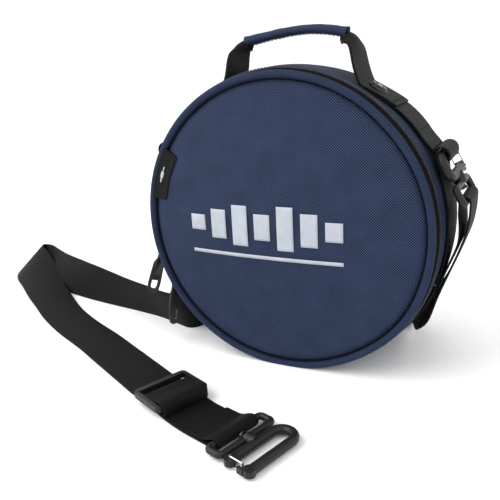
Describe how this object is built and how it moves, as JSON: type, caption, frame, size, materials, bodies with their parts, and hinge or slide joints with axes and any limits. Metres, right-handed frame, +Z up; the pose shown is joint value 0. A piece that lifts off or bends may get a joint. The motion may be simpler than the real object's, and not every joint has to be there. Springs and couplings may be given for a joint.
{
  "type": "headphone carrying case",
  "caption": "Round padded zip-up headphone case standing on its rim, with a top handle and a detachable adjustable shoulder strap.",
  "frame": {"origin": "on the floor under the middle of the case", "axes": "+Z up, the round lid faces -Y, +X towards the side the shoulder strap is clipped to"},
  "size_m": [0.5415, 0.2699, 0.2702],
  "materials": {
    "navy_nylon": "matte woven",
    "navy_piping": "matte woven",
    "black_webbing": "ribbed webbing",
    "zipper_tape": "woven tape",
    "zipper_coil": "satin",
    "hook_plastic": "satin",
    "black_metal": "gloss black",
    "steel": "plated",
    "lining": "brushed tricot",
    "mesh": "knitted mesh",
    "foam": "matte",
    "board": "matte",
    "patch_rubber": "satin",
    "silver_print": "satin print"
  },
  "bodies": {
    "case": {"side_wall": "navy_nylon", "wall_foam": "foam", "body_lining": "lining", "back_panel": "navy_nylon", "back_board": "board", "back_piping": "navy_piping", "zipper_tape_body": "zipper_tape", "zipper_teeth_body": "zipper_coil", "zipper_stops": "steel", "hinge_band": "navy_nylon", "web_strip_left": "black_webbing", "web_strip_right": "black_webbing", "side_loop_left": "black_webbing", "side_loop_right": "black_webbing", "rivet_caps": "black_metal", "rivet_posts": "steel", "loose_hook_eye": "hook_plastic", "strap_end": "black_webbing", "strap_main": "black_webbing", "strap_tail": "black_webbing"},
    "lid": {"lid_panel": "navy_nylon", "lid_foam": "foam", "lid_board": "board", "lid_lining": "lining", "lid_piping": "navy_piping", "zipper_tape_lid": "zipper_tape", "zipper_teeth_lid": "zipper_coil", "port_patch": "patch_rubber", "port_welt": "navy_piping", "port_icon": "silver_print", "lid_graphic": "silver_print", "mesh_pocket": "mesh", "pocket_binding": "black_webbing"},
    "upper_slider": {"slider_upper": "black_metal"},
    "upper_pull": {"pull_upper": "black_metal"},
    "lower_slider": {"slider_lower": "black_metal"},
    "lower_pull": {"pull_lower": "black_metal"},
    "handle": {"handle_leg_left": "black_webbing", "handle_leg_right": "black_webbing", "handle_core": "hook_plastic", "handle_cover": "navy_nylon"},
    "clipped_hook": {"clipped_hook": "hook_plastic", "clipped_hook_pin": "steel", "clipped_hook_eye": "hook_plastic", "strap_turn": "black_webbing"},
    "clipped_gate": {"clipped_hook_gate": "steel"},
    "loose_hook": {"loose_hook": "hook_plastic", "loose_hook_pin": "steel"},
    "loose_gate": {"loose_hook_gate": "steel"},
    "adjuster": {"adjuster": "hook_plastic", "adjuster_wrap": "black_webbing"}
  },
  "joints": [
    {"name": "lid_hinge", "type": "hinge", "parent": "case", "child": "lid", "pos_m": [0, -0.0448, 0.0028], "axis": [1, 0, 0], "range_deg": [0, 65]},
    {"name": "upper_slider_run", "type": "hinge", "parent": "case", "child": "upper_slider", "pos_m": [0, -0.034, 0.1185], "axis": [0, 1, 0], "range_deg": [0, 231]},
    {"name": "lower_slider_run", "type": "hinge", "parent": "case", "child": "lower_slider", "pos_m": [0, -0.034, 0.1185], "axis": [0, -1, 0], "range_deg": [0, 6]},
    {"name": "upper_pull_swing", "type": "hinge", "parent": "upper_slider", "child": "upper_pull", "pos_m": [-0.12112, -0.034, 0.08377], "axis": [0, 1, 0], "range_deg": [-20, 60]},
    {"name": "lower_pull_swing", "type": "hinge", "parent": "lower_slider", "child": "lower_pull", "pos_m": [-0.1102, -0.034, 0.05741], "axis": [0, 1, 0], "range_deg": [-8, 30]},
    {"name": "handle_swing", "type": "hinge", "parent": "case", "child": "handle", "pos_m": [0, 0, 0.2445], "axis": [1, 0, 0], "range_deg": [-35, 35]},
    {"name": "clipped_hook_swing", "type": "hinge", "parent": "case", "child": "clipped_hook", "pos_m": [0.11645, 0, 0.17354], "axis": [0, -1, 0], "range_deg": [0, 25]},
    {"name": "clipped_gate_spring", "type": "hinge", "parent": "clipped_hook", "child": "clipped_gate", "pos_m": [0.12461, 0.0245, 0.15863], "axis": [0.8771, 0, 0.4802], "range_deg": [0, 9], "stiffness_Nm_per_rad": 0.02},
    {"name": "loose_hook_swivel", "type": "hinge", "parent": "case", "child": "loose_hook", "pos_m": [0.014, -0.154, 0.00465], "axis": [0.9511, -0.309, 0], "continuous": true},
    {"name": "loose_gate_spring", "type": "hinge", "parent": "loose_hook", "child": "loose_gate", "pos_m": [0.02022, -0.18178, 0.00465], "axis": [0, 0, 1], "range_deg": [0, 28], "stiffness_Nm_per_rad": 0.02},
    {"name": "adjuster_slide", "type": "slide", "parent": "case", "child": "adjuster", "axis": [0.891, -0.454, 0], "range_m": [-0.06, 0.012]}
  ]
}
